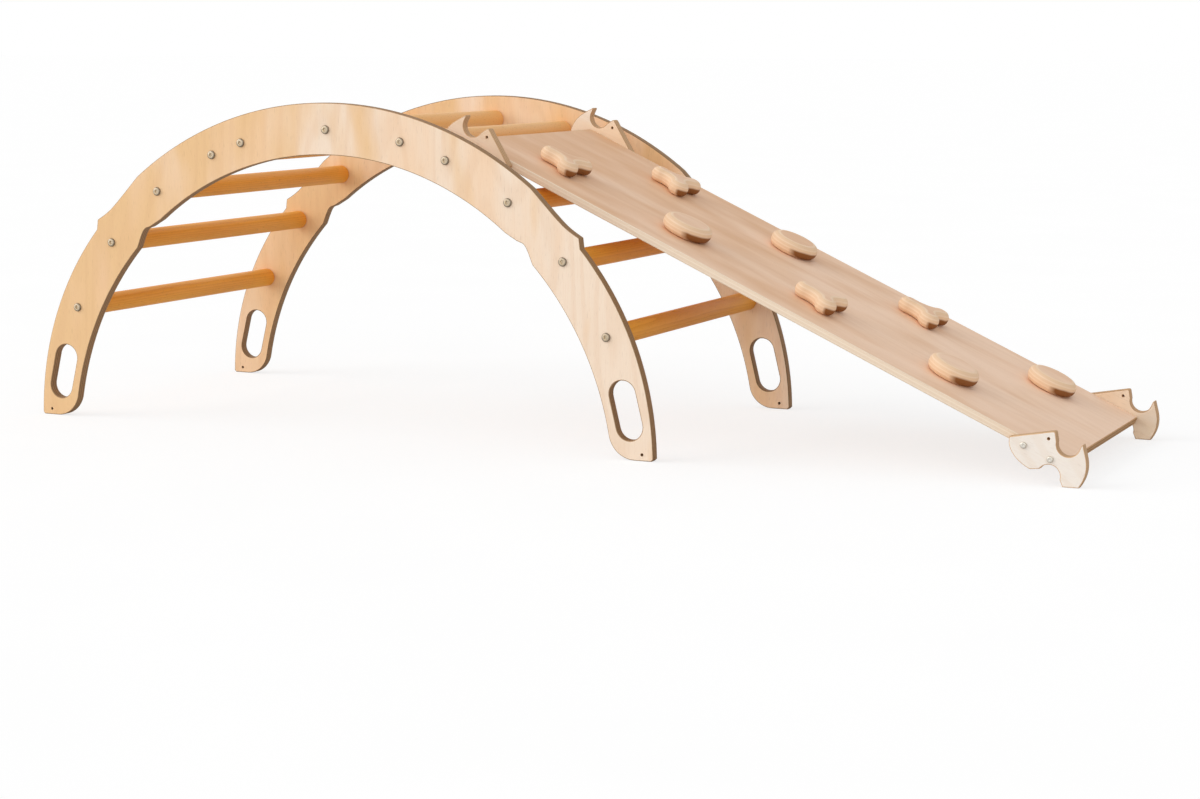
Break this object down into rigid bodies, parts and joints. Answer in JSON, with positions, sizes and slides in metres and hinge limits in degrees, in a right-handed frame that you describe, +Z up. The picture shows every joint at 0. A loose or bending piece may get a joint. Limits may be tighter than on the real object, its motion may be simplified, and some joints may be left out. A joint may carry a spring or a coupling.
{
  "type": "climbing arch",
  "caption": "Plywood and dowel climbing arch with hand slots, and a board ramp with grip holds that hooks over a rung.",
  "frame": {"origin": "on the floor, under the centre of the box round the arch and its ramp", "axes": "+X along the arch towards the ramp's foot, +Y from the near panel to the far one, +Z up"},
  "size_m": [1.648, 0.5638, 0.493],
  "materials": {
    "panel_plywood": "satin-oiled birch plywood",
    "rung_wood": "turned and oiled dowel",
    "board_plywood": "sanded plywood",
    "hook_plywood": "pale sanded birch plywood",
    "hold_plywood": "sanded plywood with rounded edges",
    "zinc_screw": "bright zinc plate"
  },
  "bodies": {
    "arch": {"near_side_panel": "panel_plywood", "far_side_panel": "panel_plywood", "rung_left_low": "rung_wood", "rung_left_low_screw_near": "zinc_screw", "rung_left_low_screw_far": "zinc_screw", "rung_left_second": "rung_wood", "rung_left_second_screw_near": "zinc_screw", "rung_left_second_screw_far": "zinc_screw", "rung_left_third": "rung_wood", "rung_left_third_screw_near": "zinc_screw", "rung_left_third_screw_far": "zinc_screw", "rung_left_hook": "rung_wood", "rung_left_hook_screw_near": "zinc_screw", "rung_left_hook_screw_far": "zinc_screw", "rung_left_stay": "rung_wood", "rung_left_stay_screw_near": "zinc_screw", "rung_left_stay_screw_far": "zinc_screw", "rung_crown": "rung_wood", "rung_crown_screw_near": "zinc_screw", "rung_crown_screw_far": "zinc_screw", "rung_right_stay": "rung_wood", "rung_right_stay_screw_near": "zinc_screw", "rung_right_stay_screw_far": "zinc_screw", "rung_right_hook": "rung_wood", "rung_right_hook_screw_near": "zinc_screw", "rung_right_hook_screw_far": "zinc_screw", "rung_right_third": "rung_wood", "rung_right_third_screw_near": "zinc_screw", "rung_right_third_screw_far": "zinc_screw", "rung_right_second": "rung_wood", "rung_right_second_screw_near": "zinc_screw", "rung_right_second_screw_far": "zinc_screw", "rung_right_low": "rung_wood", "rung_right_low_screw_near": "zinc_screw", "rung_right_low_screw_far": "zinc_screw"},
    "ramp": {"ramp_board": "board_plywood", "lower_hook_plate_near": "hook_plywood", "lower_hook_plate_near_screw": "zinc_screw", "lower_hook_plate_far": "hook_plywood", "lower_hook_plate_far_screw": "zinc_screw", "upper_hook_plate_near": "hook_plywood", "upper_hook_plate_near_screw": "zinc_screw", "upper_hook_plate_far": "hook_plywood", "upper_hook_plate_far_screw": "zinc_screw", "disc_hold_near_1": "hold_plywood", "disc_hold_near_1_screw": "zinc_screw", "disc_hold_far_1": "hold_plywood", "disc_hold_far_1_screw": "zinc_screw", "clover_hold_near_2": "hold_plywood", "clover_hold_near_2_screw": "zinc_screw", "clover_hold_far_2": "hold_plywood", "clover_hold_far_2_screw": "zinc_screw", "disc_hold_near_3": "hold_plywood", "disc_hold_near_3_screw": "zinc_screw", "disc_hold_far_3": "hold_plywood", "disc_hold_far_3_screw": "zinc_screw", "clover_hold_near_4": "hold_plywood", "clover_hold_near_4_screw": "zinc_screw", "clover_hold_far_4": "hold_plywood", "clover_hold_far_4_screw": "zinc_screw"}
  },
  "joints": [
    {"name": "ramp_hinge", "type": "hinge", "parent": "arch", "child": "ramp", "pos_m": [-0.10036, 0, 0.4132], "axis": [0, -1, 0], "range_deg": [0, 60]}
  ]
}
